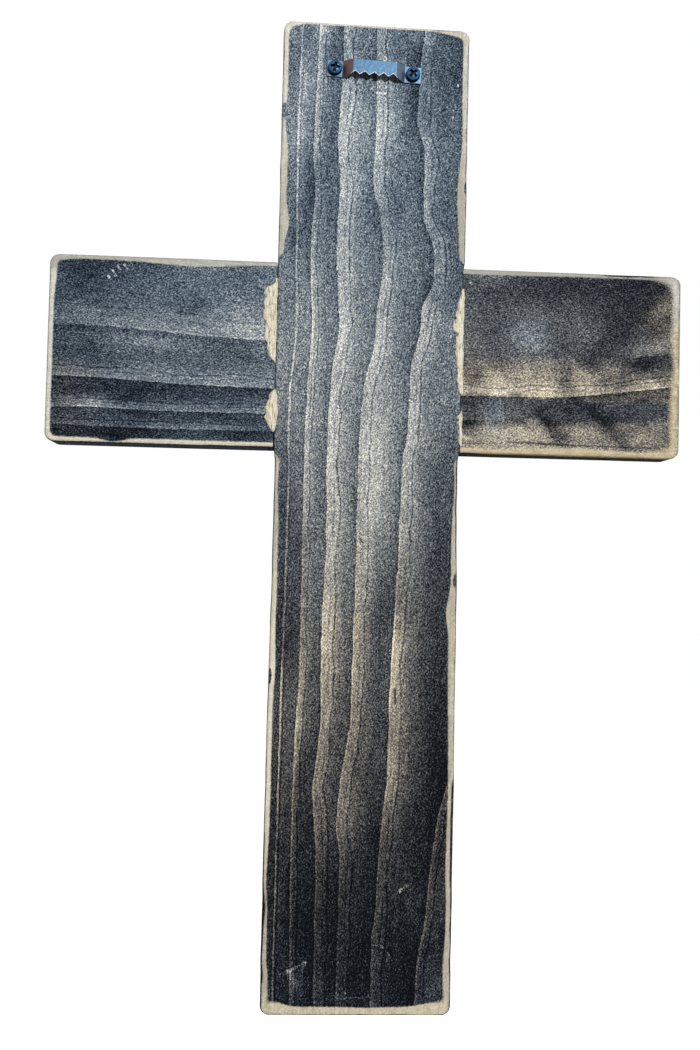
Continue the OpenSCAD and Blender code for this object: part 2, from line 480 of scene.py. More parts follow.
def stained_pine():
    """Thin black stain over pine. The paleness is a screen lightness, from 0 to 1.

    bare is how far inside the sanded band a point lies. The stain's colour runs from a painted blue
    sky sheen, where the stored brownness is 0, to brown stain at 1. Of the bare wood, gold is how
    yellow it is, dim how much darker, and blur how softly it sets in.
    """
    g = Graph("stained_pine")
    along, across, depth, grain = g.attribute("grain")
    ring, spacing, band, _ = g.attribute("growth")
    bare, tone, sheen_to_brown, _ = g.attribute("coat_and_sheen")
    vigour, fall, glint, _ = g.attribute("line")
    gold, blur, dim, _ = g.attribute("wear")

    # Late-wood lines, a little ragged
    ragged = g.noise(g.scaled(grain, 0.08, 0.5, 0.5), detail=4.0, roughness=0.7)
    ring = g.math("ADD", ring, g.math("DIVIDE", g.times(ragged, 0.5), spacing))
    phase = g.math("FRACT", ring)
    past_line = g.times(phase, spacing)
    number = g.math("FLOOR", ring)
    lane = g.add(past_line, 17.0, number)
    fibre = g.noise(g.joined(g.times(along, 0.03), lane), detail=3.0, roughness=0.75)
    strand = g.noise(g.joined(g.times(along, 0.025), g.times(lane, 1.7), 3.0), roughness=0.7)
    drift = g.noise(g.joined(g.times(along, 0.04), g.times(number, 5.0), 9.0))

    # Pale at each line's edge, with a second thin line at the pale band's far side
    reach = g.times(band, g.add(1.0, 0.35, drift))
    in_band = g.math("DIVIDE", past_line, reach)
    edge = g.times(g.step(past_line, 0.45, 1.1, 1.0, 0.0), glint)
    fade = g.times(g.step(phase, 0.0, 1.05), fall)
    soft_edge = g.step(along, 300.0, 370.0, 1.7, 1.25)
    plateau = g.step(g.add(in_band, 0.22, fibre), 0.7, soft_edge, 1.0, 0.0)
    last = g.step(phase, 0.80, 0.99)
    second = g.dark_line(in_band, 1.0, reach)
    inner = g.dark_line(in_band, 0.6, reach)
    late = g.add(0.14, -0.5, fade)
    late = g.add(late, g.step(along, 330.0, 400.0, 0.5, 0.25), plateau)
    late = g.add(late, 0.75, edge)
    late = g.add(late, -0.18, last)
    late = g.add(late, -0.7, second)
    late = g.add(late, -0.5, g.times(inner, g.step(drift, -0.4, 0.4)))
    late = g.add(late, 0.30, fibre)
    uneven = g.noise(g.joined(g.times(along, 0.025), g.times(number, 7.0), 31.0))
    late = g.times(late, g.times(vigour, g.add(1.0, 0.4, uneven)))
    strandy = g.times(g.step(strand, 0.3, 0.9), g.add(0.35, 0.65, plateau))
    late = g.add(late, 0.5, strandy)

    # Open grain took more or less stain, speckle by speckle
    speckle = g.noise(g.turned(g.scaled(grain, 1.2, 1.6, 1.6)), roughness=0.75)
    patchy = g.noise(g.scaled(grain, 0.035, 0.08, 0.08), detail=3.0)
    blotch = g.noise(g.scaled(grain, 0.2, 0.3, 0.3), detail=3.0)
    strength = g.add(0.12, 0.32, tone)
    pale = g.add(tone, late, strength)
    pale = g.add(pale, 0.03, patchy)
    pale = g.add(pale, 0.035, blotch)
    grit = g.step(tone, 0.05, 0.45, 0.33, 0.43)
    pale = g.add(pale, speckle, grit)
    specks = g.step(g.noise(g.turned(g.scaled(grain, 1.1, 1.3, 1.3)), detail=0.0), 0.95, 1.25)
    dusty = g.step(along, 425.0, 470.0, 0.15, 1.0)
    pale = g.add(pale, 0.3, g.times(specks, dusty))
    jitter_across = g.add(across, 0.5, g.noise(g.scaled(grain, 0.5, 0.5, 0.5)))
    jitter_along = g.add(along, 0.5, g.noise(g.scaled(grain, 0.6, 0.6, 0.6)))
    worn_through = g.step(speckle, -0.5, 0.5, 0.3, 1.0)
    on_back = g.times(worn_through, g.step(depth, 0.3, 1.2, 1.0, 0.0))
    for *mark, change in MARKS:
        stroke = g.stroke(jitter_across, jitter_along, mark)
        pale = g.add(pale, change, g.times(stroke, on_back))
    pale = g.math("ADD", pale, 0.0, clamp=True)

    # The blue-grey ramp is the stain under a painted sky sheen, the brown ramp the stain without it
    stain_with_sky_sheen = g.ramp(pale, [
        (0.0, 5, 7, 12), (0.12, 25, 30, 39), (0.30, 64, 78, 91), (0.50, 117, 129, 139),
        (0.66, 166, 171, 170), (1.0, 252, 250, 244)])
    brown = g.ramp(pale, [
        (0.0, 6, 8, 12), (0.12, 29, 31, 35), (0.30, 78, 76, 75), (0.50, 134, 126, 113),
        (0.70, 186, 176, 154), (1.0, 250, 240, 215)])
    tan = g.times(g.step(along, 200.0, 300.0), late)
    stain = g.mix(g.add(sheen_to_brown, 0.3, tan), stain_with_sky_sheen, brown)

    # Bare wood where the edges were sanded
    wood_tone = g.add(g.math("SUBTRACT", 0.74, dim), 0.07, fibre)
    wood_tone = g.add(wood_tone, 0.09, speckle)
    wood_tone = g.add(wood_tone, 0.05, blotch)
    grey_wood = g.ramp(wood_tone, [
        (0.0, 60, 58, 52), (0.6, 158, 156, 146), (0.8, 208, 206, 196), (1.0, 240, 238, 230)])
    gold_wood = g.ramp(wood_tone, [
        (0.0, 50, 38, 20), (0.6, 152, 132, 96), (0.8, 210, 192, 150), (1.0, 242, 230, 200)])
    wood = g.mix(gold, grey_wood, gold_wood)
    nibble = g.noise(g.scaled(grain, 0.5, 0.9, 0.9), detail=3.0, roughness=0.7)
    bare = g.add(bare, 0.25, nibble)
    bare = g.add(bare, g.times(blur, 0.8), speckle)
    worn = g.step(bare, g.add(-0.3, -2.0, blur), g.add(0.3, 2.0, blur))
    g.paint(g.mix(worn, stain, wood), {"Roughness": 0.8, "Specular IOR Level": 0.04})
    height = g.add(g.times(late, 0.4), 0.4, speckle)
    height = g.add(height, -0.6, worn)
    g.bump(height, 0.00010)
    return g.owner


def dried_glue():
    """Cream glue that was squeezed out of the joint and left rough."""
    g = Graph("dried_glue")
    _, _, height, place = g.attribute("smear")
    grain = g.noise(g.scaled(place, 1.2, 1.2, 1.2), detail=4.0, roughness=0.7)
    ridges = g.noise(g.scaled(place, 1.3, 0.22, 1.0), detail=3.0)
    tone = g.add(0.68, 0.34, grain)
    tone = g.add(tone, 0.30, ridges)
    tone = g.add(tone, -0.45, g.step(ridges, -0.9, -0.4, 1.0, 0.0))
    tone = g.add(tone, 0.10, height)
    colour = g.ramp(tone, [
        (0.0, 60, 52, 38), (0.3, 150, 138, 112), (0.6, 218, 207, 180), (1.0, 246, 240, 222)])
    g.paint(colour, {"Roughness": 0.7})
    g.bump(g.add(grain, 0.8, ridges), 0.0003)
    return g.owner


def blued_steel():
    """Thin blue oxide on the hanger, its blue partly a painted sky reflection. The two ramps carry
    painted reflections, brown on one and grey on the other.
    """
    g = Graph("blued_steel")
    x, _, _, place = g.attribute("strip")
    mottle = g.noise(g.scaled(place, 0.5, 0.5, 0.5), detail=4.0, roughness=0.65)
    tone = g.add(0.5, 0.18, mottle)
    # The blue is the oxide with a painted sky reflection
    blue = g.ramp(tone, [(0.0, 40, 61, 79), (1.0, 59, 86, 107)])
    # Painted reflections on the ramps: brown on one, grey on the other
    brown = g.ramp(tone, [(0.0, 84, 62, 62), (1.0, 122, 96, 94)])
    grey = g.ramp(tone, [(0.0, 78, 92, 112), (1.0, 118, 132, 152)])
    off_middle = g.math("ABSOLUTE", x)
    ramps = g.times(g.step(off_middle, 10.5, 10.9), g.step(off_middle, 14.9, 15.3, 1.0, 0.0))
    ramp_reflection = g.mix(g.step(x, -1.0, 1.0), grey, brown)
    colour = g.mix(ramps, blue, ramp_reflection)
    sheared, _, _, _ = g.attribute("sheared")
    tabs = g.step(off_middle, 15.2, 15.4, 0.0, 0.3)
    colour = g.mix(tabs, colour, srgb(78, 97, 114))
    colour = g.mix(sheared, colour, srgb(228, 224, 214))
    g.paint(colour, {"Metallic": 0.85, "Roughness": 0.42})
    g.bump(mottle, 0.00003)
    return g.owner


def blackened_screw():
    """Black oxide with a painted blue sky reflection on the head. Where shade falls, in the recess,
    on the head's side wall and below the head, it is painted plain black.
    """
    g = Graph("blackened_screw")
    _, _, shaded_black, place = g.attribute("screw")
    mottle = g.noise(g.scaled(place, 0.8, 0.8, 0.8), detail=3.0)
    # The head's blue is a painted sky reflection
    head = g.ramp(g.add(0.5, 0.3, mottle), [(0.0, 22, 50, 88), (1.0, 70, 114, 160)])
    # Plain black as painted shade in the recess, on the head's side wall and below the head
    colour = g.mix(g.step(shaded_black, 0.0, 0.8), head, srgb(12, 12, 14))
    g.paint(colour, {"Metallic": 0.9, "Roughness": 0.45})
    return g.owner


pine = stained_pine()
glue = dried_glue()
steel = blued_steel()
screw_steel = blackened_screw()


# -------- the two boards

def rungs_past_lap(low, lap_low, lap_high, high, pitch):
    """Grid lines along a board, with one at each side of the lap."""
    return np.concatenate([rungs(low, lap_low, pitch, 4, 0.5),
                           rungs(lap_low, lap_high, pitch, 0.6, 0.6)[1:],
                           rungs(lap_high, high, pitch, 4, 0.5)[1:]])


def board(us, ds, cut_away):
    """Points and faces of a board on grid lines us and ds, less the half cut away at the lap."""
    cs = np.concatenate([rungs(0, LAP, 1.8, 2, 0.5), rungs(LAP, THICK, 1.8, 2, 0.5)[1:]])
    middles = ((lines[:-1] + lines[1:]) / 2 for lines in (us, ds, cs))
    return skin([us, ds, cs], ~cut_away(*np.meshgrid(*middles, indexing="ij")))


def rounded(points, box, side, along, seed):
    """A board's points with its edges rounded, a little unevenly on its two long sides."""
    left, right, top, foot = box
    low, high = [left, top, 0], [right, foot, THICK]
    shaped = list(points)
    round_box(shaped, low, high, side, 2, EDGE_RADIUS + 0.4 * cloud(along, along * 0, 17, seed))
    round_box(shaped, low, high, 1 - side, 2, EDGE_RADIUS)
    round_box(shaped, low, high, 0, 1, CORNER_RADIUS)
    return shaped


def finish_board(name, node, points, faces, layers):
    """Adds a board with all that its material reads."""
    piece = add_mesh(name, world(*points), faces, pine)
    for layer, columns in layers.items():
        store(piece, layer, *columns)
    ship(piece, node)


def sanded_edge(points, box, widths, strips):
    """How far inside the sanded band a point lies, in millimetres, negative where stain is left.

    box is (left, right, top, foot), widths the band's width at each of its four edges, and strips
    the width of the dark strip left along the very edge.
    """
    u, d, c = points
    left, right, top, foot = box
    inset = [u - left, right - u, d - top, foot - d]
    inner = soft_max([width - e for width, e in zip(widths, inset)])
    outer = np.minimum.reduce([e - strip for e, strip in zip(inset, strips)])
    off_face = np.minimum(c, THICK - c)
    return np.minimum(inner - 3.5 * off_face, outer + 0.3 - off_face)


def wander(u, d, seed):
    """Shifts places by a few millimetres, so that round blots come out ragged."""
    return (u + 1.6 * cloud(u, d, 7, seed) + 0.8 * cloud(u, d, 2.5, seed + 1),
            d + 2.4 * cloud(u, d, 9, seed + 2) + 0.8 * cloud(u, d, 2.5, seed + 3))


def upright_tone_and_sheen(u, d):
    """How pale the upright's faces are, painted sheen and shade included."""
    u, d = wander(u, d, 50)
    # Partly stain; painted sky sheen lightens the upper part, painted fall-off darkens the foot
    tone = through([(-2, .34), (10, .33), (30, .37), (52, .43), (72, .39), (95, .37), (115, .39),
                    (150, .44), (215, .43), (250, .36), (300, .31), (345, .245), (375, .175),
                    (400, .115), (425, .085), (450, .07), (476, .04)], d, 10)
    right_top = 0.30 * step(12, 24, u) * step(85, 40, d)
    right_middle = 0.25 * step(18, 40, u) * step(50, 90, d) * step(150, 125, d)
    right_low = 0.34 * step(20, 38, u) * step(180, 230, d) * step(425, 385, d)
    left_middle = 0.32 * step(-26, -38, u) * step(180, 220, d) * step(345, 300, d)
    tone *= 1 - right_top - right_middle - right_low - left_middle
    return tone + blobs(u, d, [
        (6, 52, 6, 26, .06), (-35, 40, 5, 22, .10), (-31, 80, 4, 26, -.09), (-22, 65, 5, 32, -.06),
        (-40, 8, 4, 8, .06), (-21, 8, 4, 10, -.04), (-2, 96, 6, 10, -.05), (9, 88, 5, 10, -.04),
        (33, 172, 9, 38, -.05), (-25, 4, 6, 6, .16), (-28, 24, 6, 14, .07), (20, 4, 4, 6, .10),
        (-38, 102, 6, 8, -.09), (-31, 72, 4, 20, -.05), (-4, 225, 4, 40, -.04),
        (-30, 345, 4, 22, .08), (-6, 385, 5, 14, .06), (-30, 384, 3, 16, .07), (22, 4, 5, 6, .10),
        (12, 285, 5, 10, -.08), (-14, 262, 3, 16, .05), (-41, 4, 4, 6, .05), (4, 240, 4, 16, .05),
        (12, 222, 4, 16, .05), (0, 262, 3, 14, .05), (15, 50, 4, 26, -.05), (10, 40, 4, 16, .05),
        (-40, 62, 4, 12, .04), (-26, 78, 6, 30, -.04), (10, 105, 5, 28, -.05),
        (5, 142, 4, 10, -.08), (15, 145, 4, 14, -.05), (25, 42, 4, 10, -.06), (30, 62, 4, 10, -.05),
        (29, 428, 4, 14, .06), (14, 245, 5, 22, .05), (-15, 315, 3, 30, .05),
        (-41, 444, 4, 20, .05), (20, 284, 5, 10, -.06), (-27, 60, 3, 6, .04), (8, 205, 7, 40, .06),
        (22, 160, 5, 20, -.05), (-5, 200, 4, 30, -.03), (34, 300, 8, 50, -.04),
        (16, 312, 5, 30, .09), (8, 300, 4, 40, -.05), (-16, 280, 4, 25, .05),
        (-28, 375, 3, 26, -.10), (-17, 372, 4, 16, .06), (-4, 380, 8, 18, .07),
        (17, 365, 5, 22, .08), (38, 350, 6, 22, -.06), (25, 424, 5, 8, .05), (36, 430, 5, 20, .03),
        (37, 462, 5, 10, .10), (-26, 462, 4, 6, .08), (-40, 464, 3, 6, .12), (-2, 455, 8, 12, -.05),
        (5, 470, 30, 3, .05), (5, 60, 4, 34, -.06), (5, 225, 4.5, 38, .11), (19, 268, 4, 36, -.10),
        (-34, 285, 5, 36, -.08), (-8, 70, 5, 36, .07), (-9, 240, 5, 70, .05),
        (28, 180, 6, 14, -.04), (28, 90, 5, 16, -.05), (31, 130, 6, 10, -.07),
        (-13, 435, 10, 22, -.06), (-26, 430, 6, 18, -.05)])


FRONT_TONE, SIDE_TONE = 0.26, 0.14


def plainer(tone, c):
    """Evens the tone out towards the front face, and darkens the board's sides."""
    tone = tone + 0.7 * step(6, 12, c) * (FRONT_TONE - tone)
    return np.where((c > 0.4) & (c < THICK - 0.4), np.minimum(tone, SIDE_TONE), tone)


def sanded_sides(u, d, c):
    """The upright's points, with its sides moved to where the sanding left them."""
    right = through([(0, 1.0), (115, 1.0), (118, .5), (206, .4), (212, -.7), (235, -.6), (262, 0),
                     (320, .2), (360, .5), (420, .7), (476, .9)], d, 3)
    left = through([(0, -.1), (206, 0), (214, .9), (262, .9), (300, .6), (360, .3), (400, .2),
                    (476, .4)], d, 3)
    shift = right * step(20, HALF, u) + left * step(-20, -HALF, u)
    shift += 0.15 * cloud(d, u * 0, 9, 4) * step(30, HALF, np.abs(u))
    tilt = HIGH_CORNER / HALF * u * step(12, 0, d)
    return [u + shift, d + tilt, c]


def upright():
    """The long board, with its front half cut away where the crossbar passes."""
    lap_top, lap_foot = BAR_TOP - LAP_GAP, BAR_FOOT + LAP_GAP
    ds = rungs_past_lap(TOP_END, lap_top, lap_foot, UPRIGHT_END, 1.3)
    us = rungs(-HALF, HALF, 1.1, 4, 0.5)
    points, faces = board(us, ds, lambda u, d, c: (d > lap_top) & (d < lap_foot) & (c > LAP))
    u, d, c = points

    # The sides were not sanded where the arms meet them
    covered = step(112, 122, d) * step(214, 205, d) * 8
    left = bumps(d, 2.6, [(98, 8, 2.2), (70, 14, 1.0), (48, 8, -0.8), (313, 10, 0.6),
                          (412, 14, -0.7), (225, 14, -0.8), (462, 10, 0.8)])
    right = bumps(d, 2.9, [(84, 16, 1.6), (225, 16, -1.4), (285, 9, 1.8), (310, 24, 0.8),
                           (405, 14, 0.4), (50, 10, -0.4), (456, 12, 1.0)])
    top = bumps(u, 1.3, [(42, 9, 2.4), (-42, 5, 1.5)])
    foot = bumps(u, 4.2, [(-38, 6, 2.0), (38, 9, 2.2), (5, 8, -0.4)])
    rim = 0.35 * cloud(d + u, c * 0, 6, 7)
    strips = [bumps(d, 0.2, [(445, 40, 1.2), (425, 8, 0.8)]) + rim,
              bumps(d, 0.5, [(225, 22, 0.7), (430, 50, 0.6)]) + rim,
              bumps(u, 0.0, [(34, 8, 1.0)]) + rim, 0.8 + rim]
    box = (-HALF, HALF, TOP_END, UPRIGHT_END)
    bare = sanded_edge(points, box, [left - covered, right - covered, top, foot], strips)
    bare += blobs(u, d, [(-43.9, 43.5, 0.7, 3.2, -4), (-44.1, 317, 0.7, 3.4, -4),
                         (44.4, 78.5, 0.7, 2.2, -4), (43.6, 270, 0.6, 3, -3),
                         (44.0, 388, 0.5, 22, -2.5)])
    ring, spacing, (band, vigour, fall, glint) = growth(
        UPRIGHT_LINES, d, u - UPRIGHT_LEAN * c, 0)
    vigour *= 1 + 0.25 * step(260, 330, d) + 0.4 * step(215, 240, d) * step(-35, -36, u)
    glint += 0.4 * step(230, 300, d)
    tone = plainer(upright_tone_and_sheen(u, d), c)
    # Painted blue sky sheen in the upper part, giving way to brown stain towards the foot
    sheen_to_brown = through([(0, 0), (60, 0), (100, .05), (150, .18), (200, .3), (262, .5), (300, .72),
                    (345, .85), (400, .9), (440, .6), (476, .3)], d, 12)
    gold = 0.15 + 0.2 * step(200, 300, d) + 0.15 * step(466, 472, d)
    dim = 0.10 * step(40, 90, d) + 0.07 * step(0, 40, u) * step(300, 200, d)
    dim -= 0.12 * step(240, 300, d) * step(430, 370, d) * step(10, -30, u)
    dim -= 0.06 * step(464, 472, d)
    blur = 0.06 + 0.25 * step(455, 470, d) * step(30, 42, np.abs(u))

    across, along, depth = rounded(points, box, 0, d, 3)
    finish_board("upright_wood", "upright_board", sanded_sides(across, along, depth), faces, {
        "grain": (along, across, depth), "growth": (ring, spacing, band),
        "coat_and_sheen": (bare, tone, sheen_to_brown), "line": (vigour, fall, glint), "wear": (gold, blur, dim)})


def right_half(u):
    """1 on the crossbar's right arm and 0 on its left one."""
    return step(-25, 25, u)


def bar_tone(u, d):
    """How pale the stain is on the crossbar's faces."""
    on_right = right_half(u)
    u, d = wander(u, d, 60)
    left = 0.24 + 0.10 * step(-150, -60, u) + 0.02 * step(140, 150, d)
    left -= 0.05 * step(155, 160, d) + 0.05 * step(178, 181, d) + 0.04 * step(199, 202, d)
    left += blobs(u, d, [
        (-58, 146, 16, 12, .08), (-112, 149, 18, 6, .03), (-112, 122, 22, 3, -.09),
        (-88, 121, 18, 3, .06), (-133, 189.5, 12, 4, .20), (-100, 172, 12, 4, .07),
        (-74, 200, 14, 4, .03), (-140, 128, 12, 12, -.07), (-120, 202, 12, 3, -.07),
        (-98, 184, 10, 3, -.05), (-84, 141, 10, 4, -.14), (-105, 159, 24, 4, .12),
        (-113, 185.5, 9, 3, -.11), (-66, 190, 10, 6, -.06), (-52, 160, 5, 5, .07),
        (-118, 127, 20, 3, -.04), (-125, 158, 26, 5, .06), (-60, 128, 10, 10, -.04),
        (-88, 161, 10, 4, .05), (-58, 177, 8, 3, -.05), (-60, 200, 16, 5, -.09),
        (-121, 205.5, 6, 1.5, -.15)])
    right = 0.28 - 0.05 * step(137, 122, d) - 0.10 * step(50, 125, u)
    right += 0.15 * step(158, 168, d) - 0.18 * step(178, 181, d)
    right += 0.20 * step(190, 195, d + 0.06 * (u - 90))
    right += blobs(u, d, [
        (78, 149.5, 10, 9, .16), (126, 133, 16, 16, -.06, -1), (142, 137, 7, 8, .17, -1),
        (140, 153, 12, 5, .20, -1), (136, 163, 9, 5, -.22, -.5), (120, 150, 6, 14, -.06, -1),
        (62, 171, 6, 7, .14, .4), (76, 170, 6, 6, .10), (87, 172, 6, 6, .12),
        (105, 170, 5, 7, .18, .6), (120, 169, 4, 6, .10), (96, 171, 3, 8, -.10),
        (52, 170, 4, 8, -.06), (142, 172, 7, 2, .10), (62, 190, 7, 9, .13),
        (92, 196, 4, 9, -.24, .8), (119, 194, 5, 9, -.22, .9), (50, 195, 6, 6, -.18),
        (143, 192, 8, 8, .03), (56, 121, 10, 5, .10), (100, 205, 60, 3, .10), (75, 198, 10, 4, .10),
        (104, 198, 9, 4, .08), (132, 199, 10, 3, .08), (104, 146, 11, 8, .07),
        (62, 146, 8, 12, -.06), (80, 163, 11, 4, .10), (52, 172, 6, 5, -.08),
        (123, 174, 8, 4, -.12), (112, 178, 8, 3, -.08), (147, 171, 5, 5, -.12),
        (55, 184, 10, 4, -.06), (148, 195, 4, 8, -.10), (134, 157, 8, 4, .10),
        (108, 143, 9, 9, .05), (80, 128, 30, 6, -.06), (136, 140, 5, 6, -.06),
        (148, 147, 4, 14, .06), (84, 166, 8, 3, .06), (95, 197, 40, 3, .05),
        (140, 184, 14, 3, .06)])
    return left + (right - left) * on_right


def crossbar():
    """The short board, with its rear half cut away where the upright passes."""
    lap_left, lap_right = -HALF - LAP_GAP, HALF + LAP_GAP
    us = rungs_past_lap(BAR_LEFT, lap_left, lap_right, BAR_RIGHT, 1.2)
    ds = rungs(BAR_TOP, BAR_FOOT, 1.0, 4, 0.5)
    points, faces = board(us, ds, lambda u, d, c: (u > lap_left) & (u < lap_right) & (c < LAP))
    u, d, c = points

    left = bumps(d, 2.6, [(125, 10, 1.0)])
    right = bumps(d, 3.8, [(121, 5, 1.6), (150, 10, 0.6), (163, 6, -1.0), (190, 20, 1.0)])
    top = bumps(u, 2.0, [(-85, 24, 1.8), (-150, 8, 0.8), (60, 25, 0.6), (149, 6, 2.0)])
    foot = bumps(u, 2.2, [(-121, 6, -1.8), (100, 30, 1.5), (148, 8, 2.0)])
    rim = 0.3 * cloud(d + u, c * 0, 6, 8)
    strips = [0.2 + rim, 1.1 + rim,
              bumps(u, 0.0, [(118, 4, 1.2), (126, 6, 1.5), (136, 6, 1.4)]) + rim,
              bumps(u, 0.1, [(105, 45, -2.4)]) + rim]
    box = (BAR_LEFT, BAR_RIGHT, BAR_TOP, BAR_FOOT)
    blur = 0.10 + 0.75 * step(135, 148, u) + 0.25 * step(201, 205, d) * step(0, 1, u)
    bare = sanded_edge(points, box, [left, right, top, foot], strips)
    raw_foot = step(BAR_FOOT - 1, BAR_FOOT - 0.3, d) * step(50, 62, u) * step(13, 9, c)
    bare += 8 * raw_foot
    ring, spacing, (band, vigour, fall, glint) = growth(BAR_LINES, u, d - BAR_LEAN * c, 1)
    plain = step(40, 60, u) * (1 - step(160, 166, d) * step(181, 179, d))
    vigour *= 1 - 0.9 * plain
    glint *= 1 - 0.9 * plain
    tone = plainer(bar_tone(u, d), c)
    gilt = blobs(u, d, [(142, 137, 12, 14, .6)])
    # How brown the stain shows; where it is low the colour is a painted blue sky sheen
    sheen_to_brown = np.clip(step(20, 46, u) * (0.55 + 0.4 * step(155, 168, d)) + gilt
                   + 0.4 * step(-120, -150, u) * step(165, 172, d), 0, 1)
    sheen_to_brown -= blobs(u, d, [(78, 149.5, 12, 10, .35), (62, 190, 7, 10, .4)])
    sheen_to_brown -= 0.4 * step(180, 182, d) * step(193, 188, d) * step(20, 46, u)
    sheen_to_brown = np.clip(sheen_to_brown + 0.12 * step(130, 150, d) * step(0, -40, u), 0, 1)
    sheen_to_brown += 0.8 * step(6, 12, c) * (0.2 - sheen_to_brown)
    on_right = right_half(u)
    gold = 0.65 * on_right * step(130, 155, d) + 0.3 * (1 - on_right) * step(198, 206, d)
    gold += 0.35 * raw_foot
    dim = 0.13 * step(130, 120, d) + 0.07 * step(0, 60, u) - blobs(u, d, [(151, 122, 6, 6, .10)])

    shaped = rounded(points, box, 1, u, 5)
    finish_board("crossbar_wood", "crossbar", shaped, faces, {
        "grain": shaped, "growth": (-ring, spacing, band), "coat_and_sheen": (bare, tone, sheen_to_brown),
        "line": (vigour, fall, glint), "wear": (gold, blur, dim)})


upright()
crossbar()


# -------- dried glue at the joint

GLUE_RISE, GLUE_ROOT, GLUE_ROUNDING = 0.42, 0.25, 0.9


def smear(name, rows, seed):
    """A rough patch of glue. rows holds, from the top down, (d, left, right)."""
    downs, lefts, rights = zip(*rows)
    d = np.arange(downs[0], downs[-1] + 0.2, 0.4)
    left = np.interp(d, downs, lefts) + 0.6 * cloud(d, d * 0, 1.5, seed)
    right = np.interp(d, downs, rights) + 0.15 * cloud(d, d * 0, 1.7, seed + 1)
    right = np.maximum(right, left + 0.3)
    across = np.linspace(0, 1, 15)
    u = left[:, None] + (right - left)[:, None] * across
    dd = np.broadcast_to(d[:, None], u.shape)
    rim = np.minimum(u - left[:, None], right[:, None] - u)
    ends = np.minimum(dd - d[0], d[-1] - dd)
    dome = np.sqrt(np.clip(np.minimum(rim, ends) / GLUE_ROUNDING, 0, 1))
    rough = 0.28 * cloud(u, dd * 0.25, 0.9, seed + 2) + 0.2 * cloud(u, dd, 2.0, seed + 3)
    proud = dome * (GLUE_RISE + rough)
    top = np.stack([u, dd, -proud - 0.02], axis=-1).reshape(-1, 3)
    base = np.stack([u, dd, np.full_like(u, GLUE_ROOT)], axis=-1).reshape(-1, 3)
    count = u.size
    at = np.arange(count).reshape(u.shape)
    quads = np.stack([at[:-1, :-1], at[1:, :-1], at[1:, 1:], at[:-1, 1:]], axis=-1).reshape(-1, 4)
    rim_loop = np.concatenate([at[0], at[1:, -1], at[-1, -2::-1], at[-2:0:-1, 0]])
    ahead = np.roll(rim_loop, -1)
    wall = np.stack([rim_loop, ahead, ahead + count, rim_loop + count], axis=-1)
    faces = np.concatenate([quads, quads[:, ::-1] + count, wall])
    points = np.concatenate([top, base])
    piece = add_mesh(name, world(*points.T), faces, glue, 60)
    height = np.concatenate([proud.ravel() * 2 - 0.6, np.zeros(count)])
    store(piece, "smear", points[:, 0], points[:, 1], height)
    ship(piece)


smear("glue_left_upper", [
    (126, -45.6, -44.8), (128, -46, -44.7), (131, -50.3, -44.7), (137, -51.4, -44.8),
    (146, -51.2, -44.7), (155, -50, -44.8), (162, -48.7, -44.8), (166, -46.4, -44.8),
    (168, -45.2, -44.9)], 11)
smear("glue_left_lower", [
    (180, -45.6, -44.6), (183, -47.3, -43.8), (187, -49, -43.4), (191, -49.4, -43.2),
    (195, -49, -43.6), (199, -46.5, -44.4), (200.5, -45.4, -44.8)], 21)
smear("glue_right_upper", [
    (128, 45.4, 46), (130.5, 44, 46), (133, 43.3, 46), (139.5, 42.3, 46), (146, 40.6, 45.9),
    (148.5, 41.2, 45.9), (150, 43, 45.8), (152, 42.3, 45.9), (156, 41.8, 46), (162, 42.8, 46),
    (165.5, 42.3, 46), (167, 43.3, 46), (171, 42.8, 46), (177, 43.5, 46), (179.5, 45.4, 46)], 31)
smear("glue_right_lower", [
    (187.5, 45.4, 46), (189.5, 44, 46), (193, 43.8, 46), (195, 44.8, 46), (198, 44.2, 46),
    (201, 44.5, 46), (204, 45, 46), (206, 45.5, 46)], 41)


# -------- hanger and screws

HANGER_TILT = math.radians(2.4)
STRIP_THICK = 0.9
BRIDGE_GAP = 3.8
# Half the strip's length, and how far from its middle the two ramps start and end
HANGER_HALF, TAB_END, BRIDGE_END = 23.0, 15.1, 10.7
TAB_HALF = 4.1
NOTCH_DEPTH, NOTCH_PITCH, NOTCH_COUNT = 1.6, 4.6, 5
TEETH_END = NOTCH_COUNT * NOTCH_PITCH / 2
# The bridge's lower edge lies this much above the tabs' lower edge
BRIDGE_LOW_STEP = 0.7
# The frame's origin is at the middle of the notches' tops
HANGER_Z = TAB_HALF - NOTCH_DEPTH - BRIDGE_LOW_STEP
SCREW_X = (HANGER_HALF + TAB_END) / 2
# Bevels along the strip's rims, wider where the notches were sheared
RIM_BEVEL, TEETH_BEVEL = 0.16, 0.26

SCREW_SIDES = 120
HEAD_R, HEAD_H, HEAD_DOME_R, CROWN_R = 3.5, 3.0, 5.5, 3.1
RECESS_W, RECESS_L, RECESS_DEPTH = 1.5, 5.0, 1.35
SHANK_L, SHANK_TIP, SHANK_CORE, SHANK_CREST, THREAD_PITCH = 12.7, 3.0, 1.15, 1.6, 1.3


def on_hanger(x, y, z):
    """World points from the hanger's own frame: x along it, y off the board, z up, in mm."""
    z = z + HANGER_Z
    turned_x = x * math.cos(HANGER_TILT) - z * math.sin(HANGER_TILT)
    turned_z = x * math.sin(HANGER_TILT) + z * math.cos(HANGER_TILT)
    return np.stack([turned_x * MM, BACK_Y + y * MM, turned_z * MM], axis=-1)


def tube(loops):
    """Faces of a tube through loops of equal length, closed at both ends."""
    rings, sides = loops.shape[:2]
    at = np.arange(rings * sides).reshape(rings, sides)
    ahead = np.roll(at, -1, axis=1)
    walls = np.stack([at[:-1], ahead[:-1], ahead[1:], at[1:]], axis=-1).reshape(-1, 4)
    return walls.tolist() + [at[0][::-1].tolist(), at[-1].tolist()]


